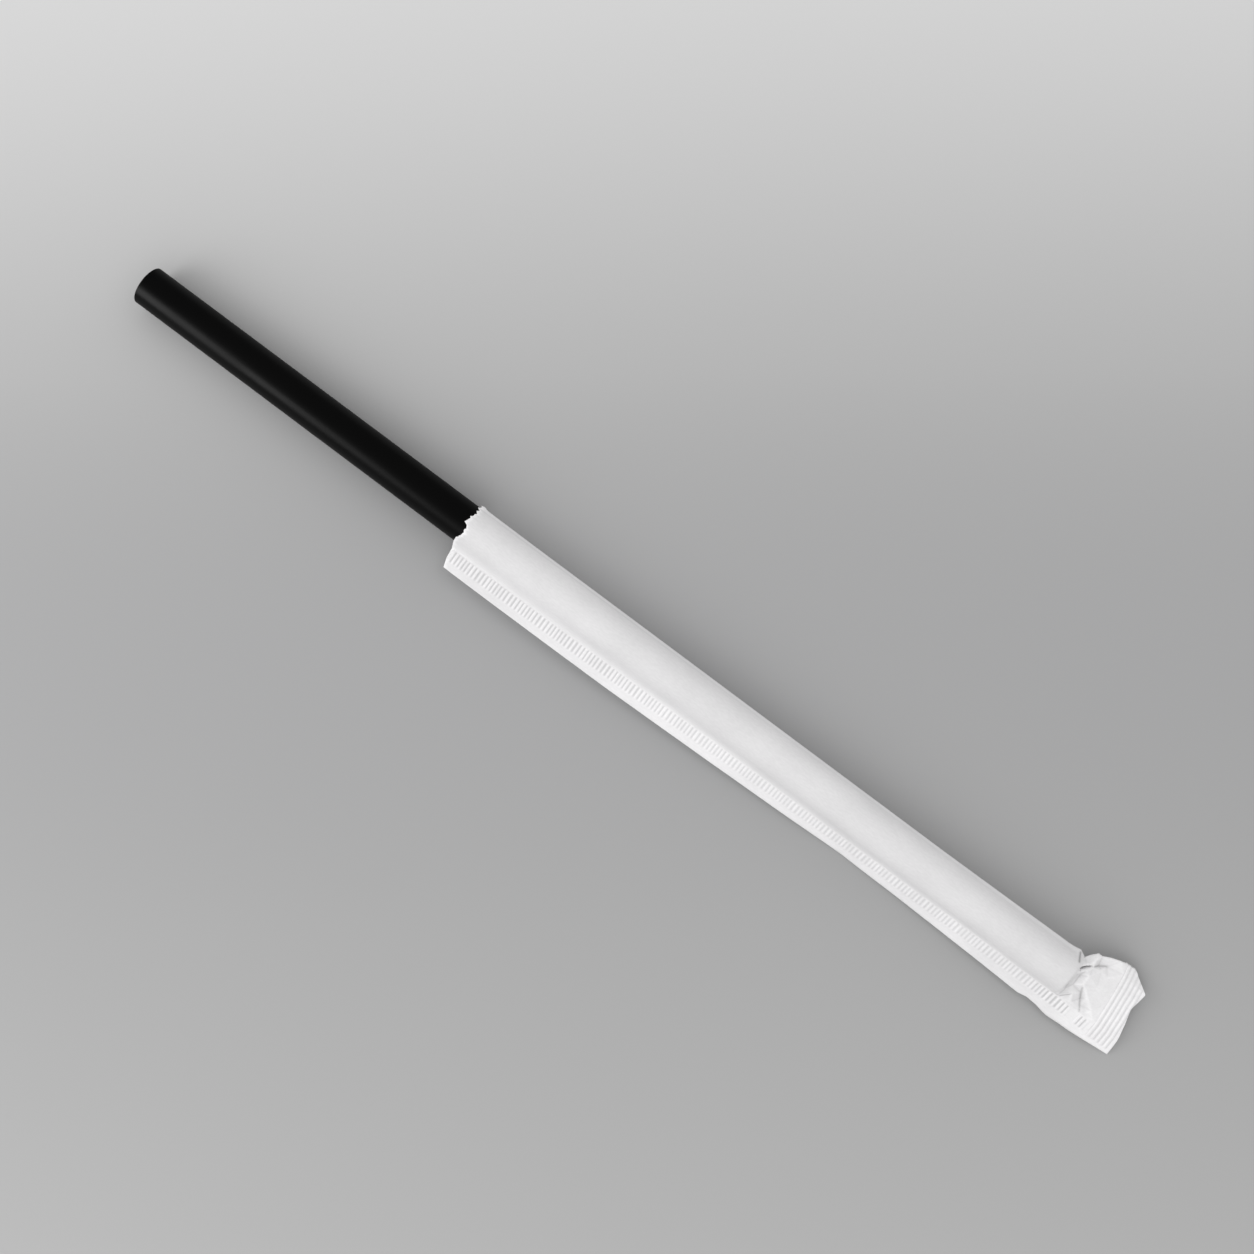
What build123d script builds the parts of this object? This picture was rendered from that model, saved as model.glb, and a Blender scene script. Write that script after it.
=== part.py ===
from build123d import *
import math
import os

os.makedirs("parts", exist_ok=True)

# A drinking straw lying in its paper wrapper. The wrapper is one strip of paper, folded
# lengthwise into a sleeve, crimped shut along its open side and across one end, and torn
# open at the other end. While it is modelled, X runs along the straw from its open rim,
# +Y points to the wrapper's fold, the side seam is on -Y, and Z = 0 is the straw's axis.

# Driving dimensions, in millimetres and degrees.
STRAW_DIAMETER = 7.5
STRAW_WALL = 0.25
STRAW_LENGTH = 204.0
PAPER_THICKNESS = 0.1
SLEEVE_CLEARANCE = 0.1  # between the straw and the paper, all round
END_CLEARANCE = 0.4  # between the straw's inner end and where the paper closes over it
EXPOSED_LENGTH = 73.0  # straw that shows, up to the torn mouth's furthest point
TAIL_LENGTH = 15.0  # wrapper beyond the straw's inner end
TAIL_SKEW = 1.55  # how far the flat tail's middle lies to the fold's side of the axis
CRIMP_WIDTH = 2.4  # ribbed band of the side seam
MARGIN_WIDTH = 1.35  # plain strip outside the side seam's ribs
END_SEAL_LENGTH = 5.5  # crimped end and its plain strip
SEAM_DROP = 1.2  # how far the seam lies below the axis
FOLD_RISE = 0.4  # how far the fold lies above the axis
FLAT_HALF_GAP = 0.05  # half of the empty space left between the tail's two layers
REST_WIDTH = 1.0  # narrow strip of the sleeve's underside, pressed flat where it lies on a surface

STRAW_RADIUS = STRAW_DIAMETER / 2
INNER_RADIUS = STRAW_RADIUS + SLEEVE_CLEARANCE
OUTER_RADIUS = INNER_RADIUS + PAPER_THICKNESS
TAIL_START = STRAW_LENGTH + END_CLEARANCE
WRAPPER_END = STRAW_LENGTH + TAIL_LENGTH
END_SEAL_START = WRAPPER_END - END_SEAL_LENGTH
SLEEVE_LENGTH = TAIL_START - EXPOSED_LENGTH
FLAT_WIDTH = math.pi * INNER_RADIUS  # half the girth of the sleeve, which the flat tail spreads to
TAIL_FOLD = FLAT_WIDTH / 2 + TAIL_SKEW
TAIL_SEAM = FLAT_WIDTH / 2 - TAIL_SKEW
FLOOR_Z = -OUTER_RADIUS

# The sleeve, from the mouth to the straw's inner end. Each row holds its share of that
# length, the fold's reach past the round paper, the seam's reach past it, and how far the
# ribbed band and the plain strip of the seam bend down from level.
SLEEVE_STATIONS = (
    (0.00, 0.16, 1.25, 0, 0),
    (0.13, 0.08, 1.20, 6, 0),
    (0.29, 0.08, 1.00, 14, 6),
    (0.45, 0.09, 0.85, 30, 20),
    (0.57, 0.09, 0.78, 41, 32),
    (0.67, 0.09, 0.72, 47, 41),
    (0.77, 0.09, 0.62, 44, 33),
    (0.89, 0.22, 0.50, 36, 20),
    (1.00, 0.35, 0.48, 34, 14),
)

# The flattened tail, up to its end seal. Each row holds its share of that length, the share
# of the way the fold and the seam have spread to their flat places, and the tail's height
# over the floor as a share of the axis's own height.
TAIL_STATIONS = (
    (0.32, 0.70, 0.72),
    (0.58, 0.90, 0.50),
    (1.00, 1.00, 0.20),
)
LAYER_MIDDLE = PAPER_THICKNESS + FLAT_HALF_GAP  # a flat tail's skin from its mid-plane
TAIL_CROWN = 1.04  # how much further from the mid-plane the skin stands in the tail's middle

# The torn mouth, from the fold side to the seam side: each point's place across the straw
# as a share of the paper's outer radius, and how far the tear has eaten in from the mouth's
# furthest point.
TEAR_POINTS = (
    (1.52, 1.9),
    (1.09, 1.1),
    (0.91, 0.3),
    (0.84, 0.9),
    (0.58, 0.9),
    (0.35, 0.5),
    (0.08, 0.3),
    (-0.10, 1.0),
    (-0.43, 1.2),
    (-0.78, 0.5),
    (-1.06, 0.6),
    (-1.80, 0.5),
    (-2.20, 1.0),
    (-2.80, 1.3),
)

# The sealed end's edge, from the fold side to the seam side: each point's place across the
# straw as a share of the flat width, and how far it stops short of the wrapper's end.
END_POINTS = (
    (0.785, 9.0),
    (0.620, 5.2),
    (0.413, 1.2),
    (0.100, 1.4),
    (-0.090, 0.9),
    (-0.604, 0.0),
    (-0.680, 4.0),
    (-0.785, 14.0),
)
TRIM_HEIGHT = 30.0
TRIM_REACH = 20.0


def polar(distance, degrees):
    """The Y and Z of a point this far along a direction."""
    return Vector(distance * math.cos(math.radians(degrees)), distance * math.sin(math.radians(degrees)))


def tangent_point(corner, radius, side):
    """Where the line from a corner meets the circle about the axis, above (1) or below (-1) it."""
    reach = math.degrees(math.acos(radius / corner.length))
    middle = math.degrees(math.atan2(corner.Y, corner.X))
    towards_top = 1 if corner.X > 0 else -1
    return polar(radius, middle + side * towards_top * reach)


def backwards(edges):
    """The same edges, run through from the last point to the first."""
    return [edge[::-1] for edge in reversed(edges)]


def section_wire(x, outline):
    """A closed wire across the straw, from edges of two points each, or three for an arc."""
    plane = Plane.YZ.offset(x)
    edges = []
    for item in outline:
        places = [plane.from_local_coords((place.X, place.Y, 0)) for place in item]
        edges.append(Line(*places) if len(places) == 2 else ThreePointArc(*places))
    return Wire([edge.edge() for edge in edges])


def eye_corners(fold_reach, seam_reach, radius):
    """The fold and the seam of the eye-shaped sleeve, drawn in with the paper's radius."""
    scale = radius / OUTER_RADIUS
    fold_y = math.sqrt((OUTER_RADIUS + fold_reach) ** 2 - FOLD_RISE**2)
    seam_y = math.sqrt((OUTER_RADIUS + seam_reach) ** 2 - SEAM_DROP**2)
    return Vector(fold_y, FOLD_RISE) * scale, Vector(-seam_y, -SEAM_DROP) * scale


def seam_flange(seam, band_angle, margin_angle):
    """The upper and the lower line of the two crimped layers, from the seam to the edge."""
    band = polar(CRIMP_WIDTH, 180 + band_angle)
    margin = polar(MARGIN_WIDTH, 180 + margin_angle)
    half = polar(PAPER_THICKNESS, 90 + band_angle)
    bend = seam + band
    edge = bend + margin
    upper = (seam + half, bend + half, edge + half)
    lower = (seam - half, bend - half, edge - half)
    return upper, lower


def eye_outline(fold, seam, radius):
    """The eye's round top and underside, from the fold's side to the seam's."""
    top_near, top_far = [tangent_point(corner, radius, 1) for corner in (fold, seam)]
    near, far = [tangent_point(corner, radius, -1) for corner in (fold, seam)]
    right = Vector(REST_WIDTH / 2, -radius)
    left = Vector(-REST_WIDTH / 2, -radius)
    upper = [(top_near, Vector(0, radius), top_far)]
    lower = [
        (near, (near + right).normalized() * radius, right),
        (right, left),
        (left, (left + far).normalized() * radius, far),
    ]
    return upper, lower


def flat_outline(fold, seam, half):
    """The same top and underside where the sleeve is pressed flat, this far from its mid-plane."""
    chord = seam - fold
    across = Vector(chord.Y, -chord.X).normalized() * half
    upper = [tuple(fold + chord * share + across * lift for share, lift in
                   ((0.15, 1), (0.5, TAIL_CROWN), (0.85, 1)))]
    corners = [fold + chord * share - across * lift for share, lift in
               ((0.15, 1), (0.4, TAIL_CROWN), (0.6, TAIL_CROWN), (0.85, 1))]
    return upper, list(zip(corners, corners[1:]))


def outer_section(x, fold, seam, halves, angles):
    """The paper's outside: the fold, the top, the flange's two sides and the bottom."""
    upper, lower = halves
    top, bottom = seam_flange(seam, *angles)
    return section_wire(x, (
        (fold, upper[0][0]),
        *upper,
        (upper[-1][-1], top[0]),
        (top[0], top[1]),
        (top[1], top[2]),
        (top[2], bottom[2]),
        (bottom[2], bottom[1]),
        (bottom[1], bottom[0]),
        (bottom[0], lower[-1][-1]),
        *backwards(lower),
        (lower[0][0], fold),
    ))


def inner_section(x, fold, seam, halves):
    """The hollow inside the paper: the fold, the top, the seam and the bottom."""
    upper, lower = halves
    return section_wire(x, (
        (fold, upper[0][0]),
        *upper,
        (upper[-1][-1], seam),
        (seam, lower[-1][-1]),
        *backwards(lower),
        (lower[0][0], fold),
    ))


def tail_corners(spread, height):
    """The fold and the seam of the flattened tail, at their share of the way to flat."""
    fold_reach, seam_reach = SLEEVE_STATIONS[-1][1:3]
    fold, seam = eye_corners(fold_reach, seam_reach, OUTER_RADIUS)
    level = FLOOR_Z * (1 - height) + LAYER_MIDDLE * (1 - height)
    fold_y = fold.X + (TAIL_FOLD - fold.X) * spread
    seam_y = seam.X + (-TAIL_SEAM - seam.X) * spread
    return Vector(fold_y, level + FOLD_RISE * height), Vector(seam_y, level - SEAM_DROP * height)


def make_wrapper():
    """The folded, crimped and torn paper: the outside less the hollow, trimmed at both ends."""
    outside, hollow = [], []
    for share, fold_reach, seam_reach, band_angle, margin_angle in SLEEVE_STATIONS:
        x = EXPOSED_LENGTH + SLEEVE_LENGTH * share
        fold, seam = eye_corners(fold_reach, seam_reach, OUTER_RADIUS)
        halves = eye_outline(fold, seam, OUTER_RADIUS)
        outside.append(outer_section(x, fold, seam, halves, (band_angle, margin_angle)))
        fold, seam = eye_corners(fold_reach, seam_reach, INNER_RADIUS)
        hollow.append(inner_section(x, fold, seam, eye_outline(fold, seam, INNER_RADIUS)))
    last_angles = SLEEVE_STATIONS[-1][3:5]
    for share, spread, height in TAIL_STATIONS:
        x = TAIL_START + (END_SEAL_START - TAIL_START) * share
        fold, seam = tail_corners(spread, height)
        angles = [angle * (1 - spread) for angle in last_angles]
        outside.append(outer_section(x, fold, seam, flat_outline(fold, seam, LAYER_MIDDLE), angles))
        inward = (seam - fold).normalized() * 2 * PAPER_THICKNESS
        inner = flat_outline(fold + inward, seam - inward, FLAT_HALF_GAP)
        hollow.append(inner_section(x, fold + inward, seam - inward, inner))
    fold, seam = tail_corners(1.0, 0.0)
    outside.append(outer_section(WRAPPER_END, fold, seam, flat_outline(fold, seam, LAYER_MIDDLE), (0, 0)))
    paper = Solid.make_loft(outside, ruled=True) - Solid.make_loft(hollow, ruled=True)
    return paper - tear_cutter() - end_cutter()


def tear_cutter():
    """Everything before the torn mouth."""
    torn = [(EXPOSED_LENGTH + depth, across * OUTER_RADIUS) for across, depth in TEAR_POINTS]
    before = EXPOSED_LENGTH - TRIM_REACH
    outline = Polyline(*torn, (before, torn[-1][1]), (before, torn[0][1]), close=True)
    return extrude(Pos(0, 0, -TRIM_HEIGHT / 2) * make_face(outline.edges()), TRIM_HEIGHT, dir=(0, 0, 1))


def end_cutter():
    """Everything past the sealed end's uneven edge."""
    cut = [(WRAPPER_END - short, across * FLAT_WIDTH) for across, short in END_POINTS]
    after = WRAPPER_END + TRIM_REACH
    outline = Polyline(*cut, (after, cut[-1][1]), (after, cut[0][1]), close=True)
    return extrude(Pos(0, 0, -TRIM_HEIGHT / 2) * make_face(outline.edges()), TRIM_HEIGHT, dir=(0, 0, 1))


def make_straw():
    """One extruded plastic tube, cut square at both ends."""
    ring = Circle(STRAW_RADIUS) - Circle(STRAW_RADIUS - STRAW_WALL)
    return extrude(Plane.YZ * ring, STRAW_LENGTH)


straw = make_straw()
wrapper = make_wrapper()

# The finished part stands on Z = 0, with its origin under the middle of its whole box.
whole = Compound(children=[*straw.solids(), *wrapper.solids()]).bounding_box()
to_origin = Pos(-whole.center().X, -whole.center().Y, -whole.min.Z)
export_step(to_origin * straw, "parts/straw.step")
export_step(to_origin * wrapper, "parts/wrapper.step")
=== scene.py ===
import math

import bpy
import numpy as np
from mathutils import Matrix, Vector, geometry, noise


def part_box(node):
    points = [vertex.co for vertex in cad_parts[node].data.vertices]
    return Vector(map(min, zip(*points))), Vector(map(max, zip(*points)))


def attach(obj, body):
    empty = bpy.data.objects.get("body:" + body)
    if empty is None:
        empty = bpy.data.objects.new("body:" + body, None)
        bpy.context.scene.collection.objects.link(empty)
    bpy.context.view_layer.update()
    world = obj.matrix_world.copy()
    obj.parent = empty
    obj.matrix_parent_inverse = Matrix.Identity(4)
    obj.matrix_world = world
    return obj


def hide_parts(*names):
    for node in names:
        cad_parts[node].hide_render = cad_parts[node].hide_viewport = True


MM = 0.001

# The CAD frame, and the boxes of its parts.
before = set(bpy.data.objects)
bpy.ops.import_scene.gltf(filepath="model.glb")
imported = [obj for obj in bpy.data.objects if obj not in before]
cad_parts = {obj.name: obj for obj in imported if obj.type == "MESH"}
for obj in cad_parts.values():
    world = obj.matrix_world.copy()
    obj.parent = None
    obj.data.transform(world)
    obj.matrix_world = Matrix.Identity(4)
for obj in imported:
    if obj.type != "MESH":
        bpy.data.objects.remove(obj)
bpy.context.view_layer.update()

# The straw's place in the frame. All of the wrapper's sizes below are in millimetres from
# the middle of the straw's open rim: x along the straw, y towards the fold, z up.
straw_low, straw_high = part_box("straw")
wrapper_low, wrapper_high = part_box("wrapper")
OPEN_RIM = np.array([straw_low[0], (straw_low[1] + straw_high[1]) / 2, (straw_low[2] + straw_high[2]) / 2])
STRAW_RADIUS = (straw_high[2] - straw_low[2]) / 2 / MM
STRAW_LENGTH = (straw_high[0] - straw_low[0]) / MM
MOUTH = (wrapper_low[0] - straw_low[0]) / MM
WRAPPER_END = (wrapper_high[0] - straw_low[0]) / MM
FLOOR = -OPEN_RIM[2] / MM

# Paper
PAPER = 0.09  # its thickness
PAPER_RADIUS = STRAW_RADIUS + 0.15  # to the middle of the paper where it lies round the straw
LAYER = 0.05  # from the mid-plane of two bonded layers to the middle of each
BEND = STRAW_LENGTH + 0.35  # the paper is round up to here, just past the straw's inner end
SLACK, SLACK_SIZE = 0.05, 7.0  # how far the sleeve stands off unevenly, and over what length
CURL, CURL_SIZE = 0.06, 9.0  # the same for the seam's cut edge

# Crimps: the side seam's short ribs, and the end seal's long ribs, which lean a little.
RIB_PITCH, RIB_HEIGHT = 0.8, 0.15
RIB_BLANK = (208.4, 208.9, 210.3, 210.8)  # a stretch that the crimping wheel left plain
LONG_RIB_PITCH, LONG_RIB_HEIGHT, LONG_RIB_SLANT = 0.92, 0.2, 0.1
LONG_RIBS = (212.9, 217.6)
LONG_RIBS_SIDE = (-6.75, -6.45)  # they fade out here, short of the seam's cut edge

# How white the paper is, as a share of all light.
# Two pressed layers are whiter than one over black; their rise and fall along the straw is painted light
# and shade.
SEALED_WHITE_AND_PAINTED_LIGHT = np.array([
    (73, 0.82), (90, 0.85), (130, 0.88), (160, 0.84), (200, 0.85), (206, 0.86), (214, 0.94),
])
SINGLE_WHITE, TORN_WHITE = 0.755, 0.97
LEAST_WHITE, MOST_WHITE = 0.3, 0.95
# Grey of the bonded grooves, which also sets how much lighter the ridges are painted: painted light on the
# ribs.
GROOVE_GREY_AND_PAINTED_LIGHT = np.array([(105, 0.26), (145, 0.14), (200, 0.14), (204, 0.30)])
LONG_GROOVE_GREY_AND_PAINTED_LIGHT = 0.2
# Painted shade in the crumple's valleys, painted light on its ridges, and the bend at which each is full.
VALLEY_PAINTED_SHADE, RIDGE_PAINTED_LIGHT, CREASE_DEPTH = 0.30, 0.14, 0.16

# Mesh
ROW_PITCH = 0.16  # five rows of the mesh to a rib
ROUND_ROWS = 6  # the plain sleeve needs only every sixth row
TORN_ROWS = 2  # and near the tear it needs every second one
TEAR_REACH, END_REACH = 4.5, 9.0  # how far from each end the rows lean to follow its edge
BAND_COLUMNS, MARGIN_COLUMNS = 9, 4  # across the seam's ribs, and across the plain strip outside them
TOP_COLUMNS, UNDER_COLUMNS = 48, 34  # from the seam to the fold

# Light: strength of the tent that stands round the set, and how much of it gloss sees.
TENT_LIGHT, TENT_GLOSS = 0.75, 0.08

# The wrapper's long lines: place along the straw, then across it and up, for the fold, the
# seam where the two layers meet, the ribbed band's outer side and the seam's cut edge.
LONG_LINES = np.array([
    # x      fold        seam          band         edge
    [73.0, 4.35, 0.6, -5.10, -1.2, -7.45, -1.3, -8.72, -1.4],
    [75.2, 4.03, 0.5, -5.10, -1.2, -7.48, -1.3, -8.78, -1.4],
    [84.6, 3.99, 0.4, -5.07, -1.2, -7.43, -1.5, -8.78, -1.6],
    [100.6, 4.01, 0.4, -4.95, -1.2, -7.30, -1.7, -8.70, -1.9],
    [111.0, 4.02, 0.4, -4.83, -1.2, -7.16, -1.9, -8.61, -2.2],
    [132.5, 4.03, 0.4, -4.65, -1.2, -6.73, -2.4, -8.10, -2.8],
    [148.4, 4.04, 0.4, -4.57, -1.2, -6.38, -2.8, -7.64, -3.3],
    [161.4, 4.05, 0.4, -4.51, -1.2, -6.09, -3.0, -7.16, -3.8],
    [174.7, 4.05, 0.4, -4.39, -1.2, -6.12, -2.9, -7.32, -3.5],
    [190.3, 4.20, 0.4, -4.27, -1.2, -6.22, -2.6, -7.66, -3.0],
    [200.2, 4.32, 0.4, -4.27, -1.2, -6.20, -2.6, -7.97, -3.0],
    [201.9, 4.30, 0.4, -4.25, -1.2, -6.25, -2.6, -7.63, -2.9],
    [203.7, 4.62, 0.7, -4.25, -1.2, -6.30, -2.5, -7.75, -2.9],
    [204.9, 3.98, 0.6, -4.20, -1.2, -6.33, -2.4, -7.94, -3.0],
    [205.6, 4.90, 0.4, -4.20, -1.2, -6.35, -2.4, -8.10, -3.0],
    [206.6, 5.95, 0.2, -4.20, -1.2, -6.35, -2.3, -8.17, -3.1],
    [207.4, 5.93, 0.0, -4.25, -1.2, -6.40, -2.3, -8.12, -3.1],
    [208.9, 6.63, -0.4, -4.30, -1.1, -6.42, -2.2, -8.00, -3.1],
    [210.8, 7.20, -1.0, -4.35, -1.1, -6.45, -2.2, -7.95, -3.1],
    [213.4, 7.55, -1.8, -4.40, -1.2, -6.55, -2.5, -7.75, -3.2],
    [219.2, 7.60, -2.6, -4.40, -2.5, -6.40, -3.4, -7.25, -3.8],
])

# The crumpled top of the empty tail: points of its facets, on top of the two long lines.
CRUMPLE = [
    # the rim, where the paper bends down past the straw's end
    (204.65, 3.1, 2.2), (204.65, 1.9, 3.3), (204.66, 0.7, 3.7), (204.5, -1.0, 3.72), (204.7, -2.6, 2.8),
    (205.1, -3.9, 0.7), (205.0, 3.8, 1.0),
    # the hollow beside the rim: its bottom, then its upper and lower lips
    (205.2, 2.0, 0.9), (205.75, 2.6, 0.1), (206.3, 3.1, 0.3),
    (205.1, 2.5, 2.5), (205.7, 3.05, 1.9), (206.35, 3.5, 1.4),
    (205.3, 1.55, 2.9), (205.95, 2.15, 2.5), (206.55, 2.8, 1.9),
    # the two pinches and the folds that run between them and to the rim
    (206.92, 3.42, 1.3), (206.75, 4.7, 1.1), (207.1, 1.7, 2.2), (207.14, 0.0, 2.0),
    (205.8, 0.9, 1.6), (205.8, -1.0, 1.7),
    # the raised corner under the rim, the crease beside it, and the ridge next to that
    (206.7, -2.3, 1.5), (207.6, -3.7, 0.0), (209.0, -4.1, -0.75),
    (208.0, -1.35, 0.4), (208.7, -2.2, -0.5), (209.5, -3.2, -1.0), (210.3, -4.2, -1.25),
    (208.3, -0.6, 1.5), (209.3, -1.45, 1.1), (211.5, -2.85, -0.2),
    # the valley from the upper pinch, and the broad panel up to the end seal
    (207.9, 4.2, -0.5), (209.2, 4.9, -0.8), (208.6, 3.7, 0.7),
    (210.2, 3.4, 0.2), (209.5, 1.0, 0.9), (211.5, 1.5, 0.1),
    (212.9, 5.5, -1.2), (213.0, 2.5, -0.8), (213.2, 0.0, -0.8), (213.4, -3.0, -1.1),
    (216.0, 3.0, -1.3), (217.4, 2.4, -1.6), (217.9, -1.4, -1.8), (218.6, -3.6, -2.4),
    (219.3, 3.0, -1.8), (219.3, -1.0, -2.1),
]
# Sharp creases that hold a shadow: both ends as places along and across the straw, then how
# dark and how wide. In order they are the nick beside the rim, the rim's lower side, the long
# crease in two stretches, the valley from the upper pinch, and soft shade round the long crease.
SHARP_CREASES = [
    (203.75, 4.15, 204.15, 2.75, 0.6, 0.17),
    (204.75, -1.4, 205.1, -3.9, 0.22, 0.12),
    (207.5, -0.5, 208.7, -2.2, 0.30, 0.14),
    (208.7, -2.2, 210.3, -4.4, 0.34, 0.12),
    (207.3, 3.7, 209.2, 4.9, 0.18, 0.3),
    (208.5, -1.5, 210.9, -3.9, 0.12, 0.5),
]

# Torn mouth: place across the straw and along it, from the fold to the seam's edge.
TEAR = np.array([
    (4.6, 74.4), (4.3, 74.0), (4.1, 73.5), (3.9, 73.75), (3.6, 73.2), (3.2, 73.9), (2.9, 73.65),
    (2.3, 73.95), (1.4, 73.6), (0.6, 73.5), (0.2, 73.2), (-0.3, 73.9), (-1.7, 74.1), (-2.5, 73.7),
    (-3.1, 73.35), (-3.8, 73.15), (-4.8, 73.25), (-6.95, 73.5), (-8.8, 74.1),
])
# Sealed end's edge: place across the straw and along it.
END_EDGE = np.array([
    (7.6, 214.0), (6.4, 215.6), (5.0, 217.8), (2.4, 217.3), (1.4, 217.2), (0.0, 217.6), (-1.4, 218.0),
    (-3.6, 218.55), (-5.4, 218.8), (-7.3, 219.0),
])

ROWS = np.arange(MOUTH + 0.3, WRAPPER_END + 0.1, ROW_PITCH)


def body_rows():
    """Numbers of the rows that the body shares with the seam: all of them only in the tail."""
    number = np.arange(len(ROWS))
    kept = (ROWS < MOUTH + 4) & (number % TORN_ROWS == 0)
    kept |= (number % ROUND_ROWS == 0) | (ROWS > BEND - 1)
    kept[-1] = True
    return np.flatnonzero(kept)


BODY_ROWS = body_rows()


def smooth(a, b, x):
    """0 before a, 1 after b, and an even S between them."""
    t = np.clip((x - a) / (b - a), 0, 1)
    return t * t * (3 - 2 * t)


def long_lines(x):
    """Fold, seam, band and edge at these places along the straw, each as its y and z."""
    columns = [np.interp(x, LONG_LINES[:, 0], LONG_LINES[:, i]) for i in range(1, 9)]
    return [np.stack(columns[i:i + 2], -1) for i in range(0, 8, 2)]


def half_eye(share, fold, seam, side):
    """Points of the sleeve's upper (1) or lower (-1) half. Share runs from the seam to the fold.

    The paper lies round the straw, and leaves it straight, towards the seam and the fold.
    """
    radius = PAPER_RADIUS
    starts = []
    for corner, turn in ((seam, -side), (fold, side)):
        reach = np.hypot(corner[:, 0], corner[:, 1])
        reach = np.maximum(reach, radius * 1.0005)  # a corner can't be inside the round
        angle = np.arctan2(corner[:, 1], corner[:, 0]) + turn * np.arccos(radius / reach)
        starts.append((angle, np.sqrt(reach**2 - radius**2)))
    (seam_angle, seam_run), (fold_angle, fold_run) = starts
    sweep = (seam_angle - fold_angle) * side
    sweep = np.mod(sweep, 2 * math.pi)
    total = seam_run + radius * sweep + fold_run
    s = share[None, :] * total[:, None]
    round_s = np.clip(s - seam_run[:, None], 0, (radius * sweep)[:, None])
    angle = seam_angle[:, None] - side * round_s / radius
    place = radius * np.stack([np.cos(angle), np.sin(angle)], -1)
    before = np.clip(1 - s / seam_run[:, None], 0, 1)[..., None]
    past_round = s - (total - fold_run)[:, None]
    after = np.clip(past_round / np.maximum(fold_run, 1e-6)[:, None], 0, 1)[..., None]
    place = place + (seam[:, None, :] - place) * before
    return place + (fold[:, None, :] - place) * after


def crumple_height(x, y):
    """Height of the tail's top at these places, from flat facets between its points."""
    fold, seam, _, _ = long_lines(LONG_LINES[:, 0])
    rows = LONG_LINES[:, 0] > BEND
    places = [(row, *p) for line in (fold, seam) for row, p in zip(LONG_LINES[rows, 0], line[rows])]
    share = np.linspace(0, 1, 11)
    fold, seam, _, _ = long_lines(np.array([BEND]))
    places += [(BEND, *p) for p in half_eye(share, fold, seam, 1)[0]]
    places += CRUMPLE
    flat = [Vector(p[:2]) for p in places]
    found = geometry.delaunay_2d_cdt(flat, [], [], 0, 1e-6)
    corners, triangles, origins = found[0], found[2], found[3]
    heights = [places[o[0]][2] for o in origins]
    result = np.full(x.shape, np.nan)
    for a, b, c in triangles:
        (ax, ay), (bx, by), (cx, cy) = corners[a], corners[b], corners[c]
        area = (bx - ax) * (cy - ay) - (cx - ax) * (by - ay)
        if abs(area) < 1e-9:
            continue
        wb = ((x - ax) * (cy - ay) - (cx - ax) * (y - ay)) / area
        wc = ((bx - ax) * (y - ay) - (x - ax) * (by - ay)) / area
        inside = (wb >= -1e-6) & (wc >= -1e-6) & (wb + wc <= 1 + 1e-6)
        z = heights[a] + wb * (heights[b] - heights[a]) + wc * (heights[c] - heights[a])
        result[inside] = z[inside]
    return result


def tail_top(x, y):
    """The crumpled height with its creases rounded over a quarter of a millimetre."""
    fold, seam, _, _ = long_lines(x[:, 0])
    share = (y - seam[:, :1]) / (fold[:, :1] - seam[:, :1])
    edge_height = seam[:, 1:] + (fold[:, 1:] - seam[:, 1:]) * share
    total = np.zeros(x.shape)
    for dx, dy in ((0, 0), (0.12, 0), (-0.12, 0), (0, 0.12), (0, -0.12)):
        z = crumple_height(x + dx, y + dy)
        total += np.where(np.isnan(z), edge_height, z)
    return total / 5


def crease(x, y):
    """Bend of the crumpled top: -1 in a sharp valley, 1 on a sharp ridge."""
    around = 0
    for dx, dy in ((0.3, 0), (-0.3, 0), (0, 0.3), (0, -0.3)):
        around = around + crumple_height(x + dx, y + dy) / 4
    bend = np.nan_to_num(crumple_height(x, y) - around)
    return np.clip(bend / CREASE_DEPTH, -1, 1) * smooth(BEND, BEND + 0.3, x)


def crease_shadow(x, y):
    """How much darker the paper is in its sharp creases, from 0 to 1."""
    shadow = np.zeros(x.shape)
    for ax, ay, bx, by, dark, wide in SHARP_CREASES:
        dx, dy = bx - ax, by - ay
        run = np.clip(((x - ax) * dx + (y - ay) * dy) / (dx**2 + dy**2), 0, 1)
        gap = np.hypot(x - ax - run * dx, y - ay - run * dy)
        shadow = np.maximum(shadow, dark * np.exp(-(gap / wide) ** 2))
    return shadow


def rib_wave(phase, seed):
    """Ribs with soft tops, each with a strength of its own, scrambled from its number."""
    number = np.floor(phase)
    wobble = np.sin(number * 12.9898 + seed) * 43758.5453
    strength = 0.65 + 0.45 * (wobble - np.floor(wobble))
    return strength * (0.5 - 0.5 * np.cos(2 * math.pi * (phase - number))) ** 1.3


def short_ribs(x, across):
    """The side seam's ribs: their height, from 0 to 1, and how fully the paper is pressed there.

    Across runs from 0 at the seam to 1 at the ribbed band's outer side.
    """
    band = smooth(0.0, 0.14, across) * (1 - smooth(0.84, 1.0, across))
    blank = 1 - smooth(*RIB_BLANK[:2], x) * (1 - smooth(*RIB_BLANK[2:], x))
    stretch = smooth(MOUTH + 0.3, MOUTH + 0.8, x) * (1 - smooth(LONG_RIBS[0] - 0.6, LONG_RIBS[0], x))
    phase = x / RIB_PITCH + 0.12 * np.sin(x * 0.9)
    pressed = band * blank * stretch
    return pressed * rib_wave(phase, 1.0), pressed


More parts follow.
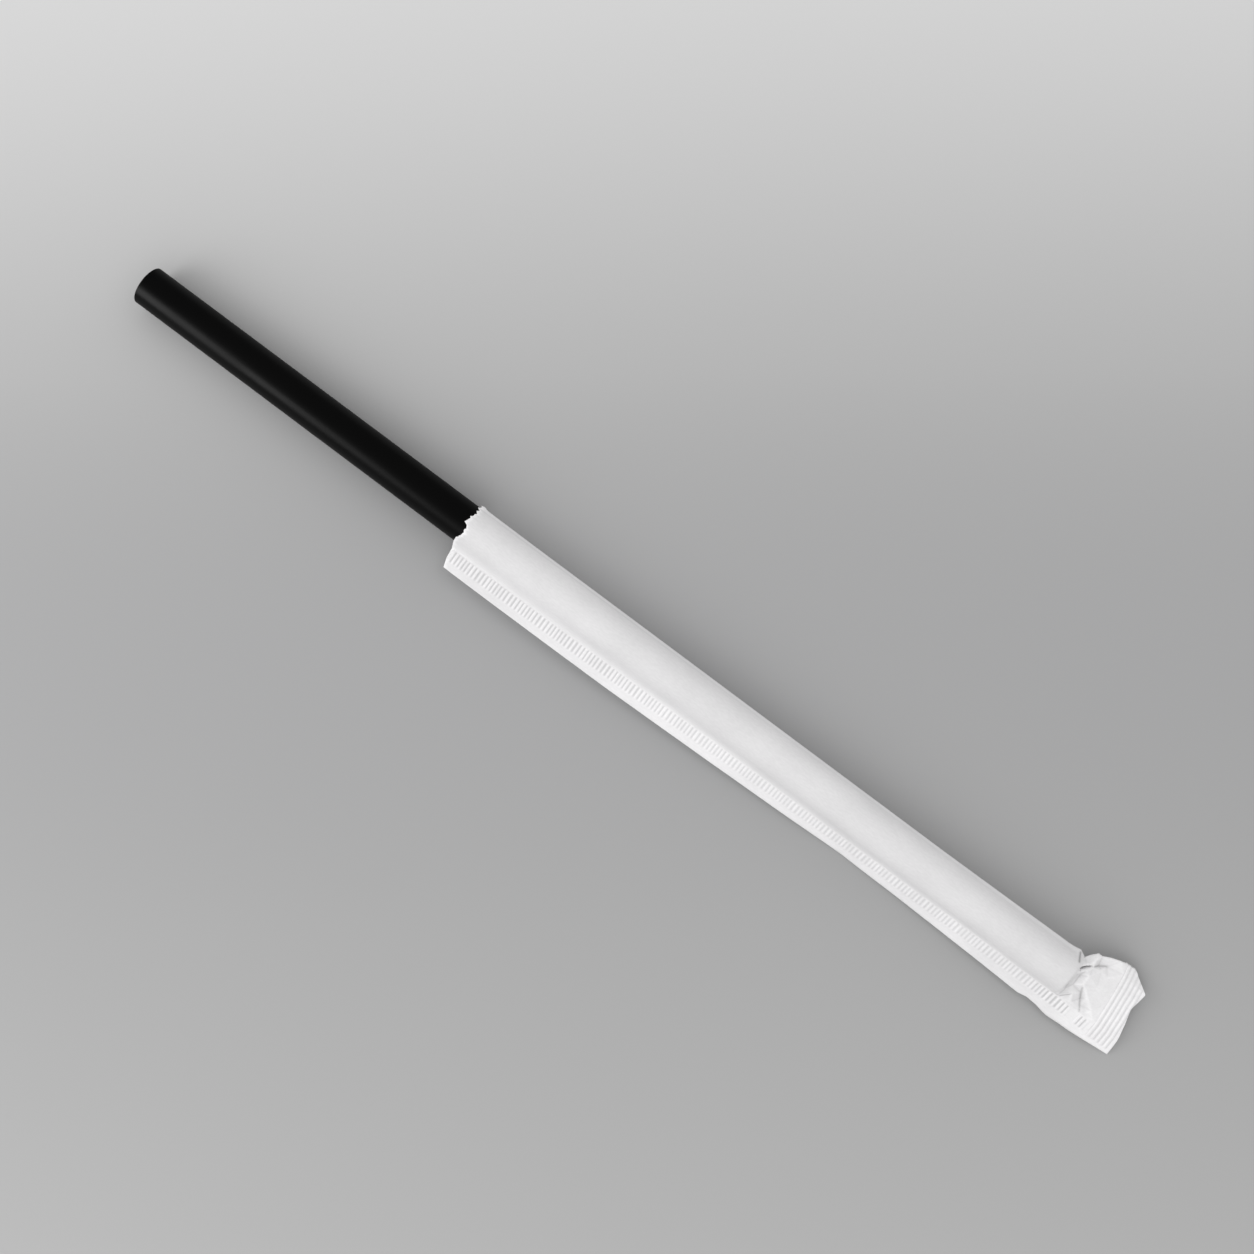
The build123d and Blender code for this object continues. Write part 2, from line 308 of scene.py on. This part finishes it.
def long_ribs(x, y):
    """The end seal's ribs, which run across both layers: height and pressing, as above."""
    at = x + LONG_RIB_SLANT * y
    first, last = LONG_RIBS
    stretch = smooth(first, first + 0.1, at) * (1 - smooth(last - 0.1, last, at))
    across = smooth(*LONG_RIBS_SIDE, y)
    pressed = stretch * across
    return pressed * rib_wave((at - first) / LONG_RIB_PITCH, 4.0), pressed


def rib_grey_and_painted_light(rib, pressed, grey_and_painted_light):
    """Bonded grooves turn greyer because light passes through them; the ridges are painted lighter than
    plain paper, a painted highlight on the ribs.
    """
    return 1 + grey_and_painted_light * (2.2 * rib - pressed)


def cloud(x, s, scale):
    """Even noise between -1 and 1 over the paper, with features of about this size."""
    flat = np.stack([x.ravel() / scale, s.ravel() / scale], -1)
    return np.array([noise.noise(Vector((a, b, scale))) for a, b in flat]).reshape(x.shape)


def trim_ends(x, y):
    """Moves the mesh's rows so that the first follows the tear and the last the sealed end's edge."""
    tear = np.interp(y, TEAR[::-1, 0], TEAR[::-1, 1])
    teeth = 0.20 * np.sin(y * 7.3) * np.sin(y * 17.1 + 1) + 0.10 * np.sin(y * 41)
    teeth = teeth * smooth(-4, -2.5, y)  # the seam's two layers tear off clean
    x = x + (tear + teeth - ROWS[0]) * (1 - smooth(ROWS[0], ROWS[0] + TEAR_REACH, x))
    end = np.interp(y, END_EDGE[::-1, 0], END_EDGE[::-1, 1])
    return x + (end - ROWS[-1]) * smooth(ROWS[-1] - END_REACH, ROWS[-1], x)


def body_half(side, columns):
    """Middle of the paper's upper (1) or lower (-1) half, from the seam to the fold.

    Each point is its x, y and z, then how white the paper is painted there, painted light and shade
    included.
    """
    share = np.linspace(0, 1, columns + 1)
    x = ROWS[BODY_ROWS]
    fold, seam, _, _ = long_lines(x)
    eye = half_eye(share, fold, seam, side)
    xs = np.repeat(x[:, None], len(share), 1)
    around = share[None, :] * 12 + 40 * side + 0 * xs
    bulge = SLACK * (1 + cloud(xs, around, SLACK_SIZE)) * np.sin(math.pi * share) ** 0.5
    outward = eye / np.linalg.norm(eye, axis=-1, keepdims=True)
    eye = eye + outward * (bulge * (side > 0))[..., None]
    # Past the bend the round sleeve spreads out flat, and its underside comes up to its top.
    spread = smooth(BEND, BEND + 2.4, xs)
    flat_y = seam[:, :1] + (fold[:, :1] - seam[:, :1]) * share
    y = eye[..., 0] + (flat_y - eye[..., 0]) * spread
    top = tail_top(xs, y)
    if side > 0:
        z = eye[..., 1] + (top - eye[..., 1]) * smooth(BEND - 0.05, BEND + 0.3, xs)
    else:
        z = eye[..., 1] + (top - 2 * LAYER - eye[..., 1]) * smooth(BEND, BEND + 6, xs)
    x_final = trim_ends(xs, y)
    rib, pressed = long_ribs(x_final, y)
    z = z + LONG_RIB_HEIGHT * rib + (LAYER if side > 0 else 0) * smooth(BEND, BEND + 3, xs)
    lit = rib_grey_and_painted_light(rib, pressed, LONG_GROOVE_GREY_AND_PAINTED_LIGHT)
    if side > 0:
        # Painted shade in the crumple's valleys and painted light on its ridges, then painted shadow in its
        # sharp creases.
        bend = crease(xs, y)
        lit = lit * (1 + VALLEY_PAINTED_SHADE * np.minimum(bend, 0) + RIDGE_PAINTED_LIGHT * np.maximum(bend, 0))
        lit = lit * (1 - crease_shadow(xs, y))
        # The paper is whiter where it leaves the black straw: beside the seam, and in a strip
        # along the fold that ends in a faint line.
        free = 0.13 * np.clip(1 - share / 0.22, 0, 1) ** 1.5 + 0.08 * smooth(0.905, 0.925, share)
        lit = lit * (1 + free[None, :] * (1 - smooth(BEND - 1, BEND, xs)))
        line = np.exp(-((share - 0.895) / 0.012) ** 2)[None, :]
        lit = lit * (1 - 0.06 * line * (1 - smooth(105, 135, xs)))
    white = SINGLE_WHITE + (sealed_white_and_painted_light(x_final) - SINGLE_WHITE) * smooth(BEND, BEND + 2, xs)
    return np.stack([x_final, y, np.maximum(z, FLOOR + PAPER / 2), tear_white(white, x_final, y) * lit], -1)


def sealed_white_and_painted_light(x):
    """Whiteness of the two pressed layers, with painted light and shade along the straw."""
    return np.interp(x, *SEALED_WHITE_AND_PAINTED_LIGHT.T)


def tear_white(white, x, y):
    """Loose fibres make the torn edge whiter, over a ragged half of a millimetre."""
    width = 0.42 + 0.20 * np.sin(y * 5.1) * np.sin(y * 2.3 + 2)
    return white + (TORN_WHITE - white) * np.exp(-((x - x[:1]) / width) ** 2)


def flange_layer(side):
    """Middle of one of the side seam's two layers, from its cut edge to the seam, as above."""
    fold, seam, band, edge = long_lines(ROWS)
    out = np.linspace(1, 0, MARGIN_COLUMNS + 1)[:-1]
    across = np.linspace(1, 0, BAND_COLUMNS + 1)
    margin = band[:, None, :] + (edge - band)[:, None, :] * out[None, :, None]
    ribbed = seam[:, None, :] + (band - seam)[:, None, :] * across[None, :, None]
    place = np.concatenate([margin, ribbed], 1)
    along = seam - edge
    normal = np.stack([-along[:, 1], along[:, 0]], -1)
    normal /= np.linalg.norm(normal, axis=1)[:, None]
    xs = np.repeat(ROWS[:, None], place.shape[1], 1)
    x_final = trim_ends(xs, place[..., 0])
    long_rib, pressed = long_ribs(x_final, place[..., 0])
    height = LONG_RIB_HEIGHT * long_rib
    white = sealed_white_and_painted_light(x_final) * rib_grey_and_painted_light(long_rib, pressed, LONG_GROOVE_GREY_AND_PAINTED_LIGHT)
    short_rib, pressed = short_ribs(x_final[:, MARGIN_COLUMNS:], across[None, :])
    height[:, MARGIN_COLUMNS:] += RIB_HEIGHT * short_rib
    grey_and_painted_light = np.interp(x_final[:, MARGIN_COLUMNS:], *GROOVE_GREY_AND_PAINTED_LIGHT.T)
    white[:, MARGIN_COLUMNS:] *= rib_grey_and_painted_light(short_rib, pressed, grey_and_painted_light)
    white = tear_white(white, x_final, place[..., 0])
    curl = CURL * cloud(xs, xs * 0, CURL_SIZE) * np.linspace(1, 0, place.shape[1])[None, :]
    place = place + normal[:, None, :] * (height + side * LAYER + curl)[..., None]
    return np.stack([x_final, place[..., 0], np.maximum(place[..., 1], FLOOR + PAPER / 2), white], -1)


def strip_faces(grid):
    """Quads between the neighbouring columns of a grid of vertex numbers."""
    corners = [grid[:-1, :-1], grid[:-1, 1:], grid[1:, 1:], grid[1:, :-1]]
    return np.stack(corners, -1).reshape(-1, 4).tolist()


def stitch_faces(fine, coarse, rows, flip):
    """Triangles between a column with every row and its neighbour with only some of them."""
    faces = []
    for k in range(len(rows) - 1):
        first, last = rows[k], rows[k + 1]
        middle = (first + last) // 2
        faces.append((fine[middle], coarse[k], coarse[k + 1]))
        faces += [(fine[j], coarse[k], fine[j + 1]) for j in range(first, middle)]
        faces += [(fine[j], coarse[k + 1], fine[j + 1]) for j in range(middle, last)]
    return [face[::-1] for face in faces] if flip else faces


def wrapper_mesh():
    """The whole sheet: down one layer of the seam, over the top, round the fold, and back below."""
    top_flange, under_flange = flange_layer(1), flange_layer(-1)
    top_body, under_body = body_half(1, TOP_COLUMNS), body_half(-1, UNDER_COLUMNS)
    body = np.concatenate([top_body[:, 1:], under_body[:, -2:0:-1]], 1)
    blocks = (top_flange, body, under_flange)
    numbers, start = [], 0
    for block in blocks:
        count = block.shape[0] * block.shape[1]
        numbers.append(np.arange(start, start + count).reshape(block.shape[:2]))
        start += count
    top_ids, body_ids, under_ids = numbers
    faces = strip_faces(top_ids) + strip_faces(body_ids) + strip_faces(under_ids[:, ::-1])
    faces += stitch_faces(top_ids[:, -1], body_ids[:, 0], BODY_ROWS, False)
    faces += stitch_faces(under_ids[:, -1], body_ids[:, -1], BODY_ROWS, True)
    points = np.concatenate([block.reshape(-1, 4) for block in blocks])
    mesh = bpy.data.meshes.new("wrapper_paper")
    mesh.from_pydata((points[:, :3] * MM + OPEN_RIM).tolist(), [], [tuple(face) for face in faces])
    attribute = mesh.attributes.new("whiteness_and_painted_light", "FLOAT", "POINT")
    attribute.data.foreach_set("value", np.clip(points[:, 3], LEAST_WHITE, MOST_WHITE).astype(np.float32))
    mesh.validate()
    mesh.shade_smooth()
    return mesh


def linear(hexcode):
    """An sRGB hex colour as the linear values that a shader takes."""
    values = [int(hexcode[i:i + 2], 16) / 255 for i in (0, 2, 4)]
    return [v / 12.92 if v <= 0.04045 else ((v + 0.055) / 1.055) ** 2.4 for v in values] + [1.0]


def add(tree, kind, settings=(), **links):
    """Adds one node. Settings are its properties or input values, and links feed its inputs."""
    node = tree.nodes.new("ShaderNode" + kind)
    for name, value in dict(settings).items():
        if hasattr(node, name):
            setattr(node, name, value)
        else:
            node.inputs[name].default_value = value
    for name, source in links.items():
        tree.links.new(source, node.inputs[name.replace("_", " ")])
    return node


def new_material(name):
    """An empty material and its node tree."""
    material = bpy.data.materials.new(name)
    material.use_nodes = True
    material.node_tree.nodes.clear()
    return material, material.node_tree


def noise_over(tree, size, detail, low, high, squeeze=(1, 1, 1)):
    """Soft noise between low and high, with patches of this size in millimetres."""
    place = add(tree, "TexCoord")
    fit = add(tree, "Mapping", Vector=place.outputs["Object"])
    fit.inputs["Scale"].default_value = squeeze
    field = add(tree, "TexNoise", {"Scale": 1 / (size * MM), "Detail": detail}, Vector=fit.outputs[0])
    return add(tree, "MapRange", {"From Min": 0.3, "From Max": 0.7, "To Min": low, "To Max": high},
               Value=field.outputs[0])


def extruded_black_polypropylene():
    """Black polypropylene, extruded: its satin skin gives soft-edged reflections.

    Fine lines from the die run along it, and its gloss changes a little from place to place.
    """
    material, tree = new_material("extruded_black_polypropylene")
    gloss = noise_over(tree, 16, 3, 0.30, 0.40, (1, 4, 4))
    die_lines = noise_over(tree, 0.45, 2, 0, 1, (0.01, 1, 1))
    bump = add(tree, "Bump", {"Strength": 0.25, "Distance": 0.000012}, Height=die_lines.outputs[0])
    skin = {"Base Color": linear("080808"), "IOR": 1.49, "Specular IOR Level": 0.23}
    shader = add(tree, "BsdfPrincipled", skin, Roughness=gloss.outputs[0], Normal=bump.outputs[0])
    add(tree, "OutputMaterial", Surface=shader.outputs[0])
    return material


def bleached_wrapping_paper():
    """Thin bleached kraft paper, uncoated: matte, softly mottled, with a fine fibrous grain.

    Its "whiteness_and_painted_light" is lower one layer over black or pressed in a crimp, and holds painted
    light and shade.
    """
    material, tree = new_material("bleached_wrapping_paper")
    white = add(tree, "Attribute", {"attribute_name": "whiteness_and_painted_light"})
    mottle = noise_over(tree, 5.25, 3, 0.965, 1.03, (0.6, 1, 1))
    fibres = noise_over(tree, 0.3, 3, 0.97, 1.03, (0.35, 1, 1))
    both = add(tree, "Math", {"operation": "MULTIPLY"})
    tree.links.new(mottle.outputs[0], both.inputs[0])
    tree.links.new(fibres.outputs[0], both.inputs[1])
    share = add(tree, "Math", {"operation": "MULTIPLY", "use_clamp": True})
    tree.links.new(both.outputs[0], share.inputs[0])
    tree.links.new(white.outputs["Fac"], share.inputs[1])
    tint = add(tree, "Mix", {"data_type": "RGBA"})
    tint.inputs[6].default_value = linear("000000")
    tint.inputs[7].default_value = linear("FFFEFF")
    tree.links.new(share.outputs[0], tint.inputs[0])
    bump = add(tree, "Bump", {"Strength": 0.3, "Distance": 0.00002}, Height=fibres.outputs[0])
    shader = add(tree, "BsdfPrincipled", {"Roughness": 0.62, "IOR": 1.45, "Specular IOR Level": 0.3},
                 Base_Color=tint.outputs[2], Normal=bump.outputs[0])
    add(tree, "OutputMaterial", Surface=shader.outputs[0])
    return material


def floor_with_painted_light():
    """Grey studio floor with painted light: paler towards its far side, a little paler towards its near
    side, darkest between.

    Gloss sees it darker, so that the black straw's edges stay black.
    """
    material, tree = new_material("pale_grey_floor_painted_light")
    far_x, far_y = -0.6, 0.8  # the direction in which its painted light gets brighter
    place = add(tree, "TexCoord")
    parts = add(tree, "SeparateXYZ", Vector=place.outputs["Object"])
    down = add(tree, "Math", {"operation": "MULTIPLY"})
    down.inputs[1].default_value = far_x
    tree.links.new(parts.outputs["X"], down.inputs[0])
    far = add(tree, "Math", {"operation": "MULTIPLY_ADD"})
    far.inputs[1].default_value = far_y
    tree.links.new(parts.outputs["Y"], far.inputs[0])
    tree.links.new(down.outputs[0], far.inputs[2])
    share = add(tree, "MapRange", {"From Min": -0.125, "From Max": 0.125}, Value=far.outputs[0])
    # Painted light: the ramp makes the floor darker across the middle and paler towards its far side.
    ramp = add(tree, "ValToRGB", Fac=share.outputs[0])
    ramp.color_ramp.interpolation = "B_SPLINE"
    stops = ((0.0, "B7B7B7"), (0.3, "A9A9A9"), (0.5, "A6A6A7"), (0.7, "ADADAD"), (1.0, "DEDEDE"))
    marks = ramp.color_ramp.elements
    while len(marks) < len(stops):
        marks.new(0.5)
    for mark, (at, colour) in zip(marks, stops):
        mark.position, mark.color = at, linear(colour)
    path = add(tree, "LightPath")
    seen = add(tree, "Mix", {"data_type": "RGBA"})
    tree.links.new(path.outputs["Is Glossy Ray"], seen.inputs[0])
    tree.links.new(ramp.outputs[0], seen.inputs[6])
    seen.inputs[7].default_value = linear("7A7A7A")
    shader = add(tree, "BsdfPrincipled", {"Roughness": 0.85, "Specular IOR Level": 0.1},
                 Base_Color=seen.outputs[2])
    add(tree, "OutputMaterial", Surface=shader.outputs[0])
    return material


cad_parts["straw"].data.materials[0] = extruded_black_polypropylene()

wrapper = bpy.data.objects.new("wrapper_paper", wrapper_mesh())
bpy.context.collection.objects.link(wrapper)
wrapper.data.materials.append(bleached_wrapping_paper())
thickness = wrapper.modifiers.new("paper", "SOLIDIFY")
thickness.thickness = PAPER * MM
thickness.offset = 0
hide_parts("wrapper")
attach(wrapper, "wrapper")


def stage():
    """The plain floor that the straw lies on."""
    bpy.ops.mesh.primitive_plane_add(size=6)
    floor = bpy.context.object
    floor.name = "floor"
    floor.data.materials.append(floor_with_painted_light())


def softbox(name, place, aim, size, watts, mirrored=False):
    """A round studio softbox. Only a mirrored one shows in the straw's gloss."""
    data = bpy.data.lights.new(name, "AREA")
    data.shape, data.size, data.energy = "DISK", size, watts
    light = bpy.data.objects.new(name, data)
    light.visible_glossy = mirrored
    bpy.context.collection.objects.link(light)
    place, aim = Vector(place), Vector(aim)
    light.location = place
    light.rotation_euler = (aim - place).to_track_quat("-Z", "Y").to_euler()
    return light


def tent():
    """Even light from all round. Gloss sees the tent's inside as dark, so black plastic stays black."""
    world = bpy.data.worlds.new("tent")
    bpy.context.scene.world = world
    world.use_nodes = True
    tree = world.node_tree
    path = add(tree, "LightPath")
    strength = add(tree, "MapRange", {"To Min": TENT_LIGHT, "To Max": TENT_GLOSS},
                   Value=path.outputs["Is Glossy Ray"])
    tree.links.new(strength.outputs[0], tree.nodes["Background"].inputs["Strength"])
    tree.nodes["Background"].inputs["Color"].default_value = (1, 1, 1, 1)


stage()
softbox("key", (-0.26, -0.26, 0.19), aim=(-0.02, 0, 0), size=0.26, watts=0.40, mirrored=True)
softbox("near_fill", (0.02, -0.42, 0.42), aim=(0.02, 0, 0), size=0.60, watts=0.60)
softbox("far_fill", (0.12, 0.40, 0.34), aim=(0.02, 0, 0), size=0.50, watts=0.40)
tent()

# The camera hangs a third of a metre from the straw's open rim and looks almost straight down.
camera_data = bpy.data.cameras.new("camera")
camera_data.lens = 50
camera_data.sensor_width = 36
camera = bpy.data.objects.new("camera", camera_data)
bpy.context.collection.objects.link(camera)
camera.location = Vector(OPEN_RIM) + Vector((0.1294, 0.0024, 0.308))
camera.rotation_euler = [math.radians(a) for a in (2.474, 3.324, 36.824)]
bpy.context.scene.camera = camera
bpy.context.scene.view_settings.view_transform = "Standard"
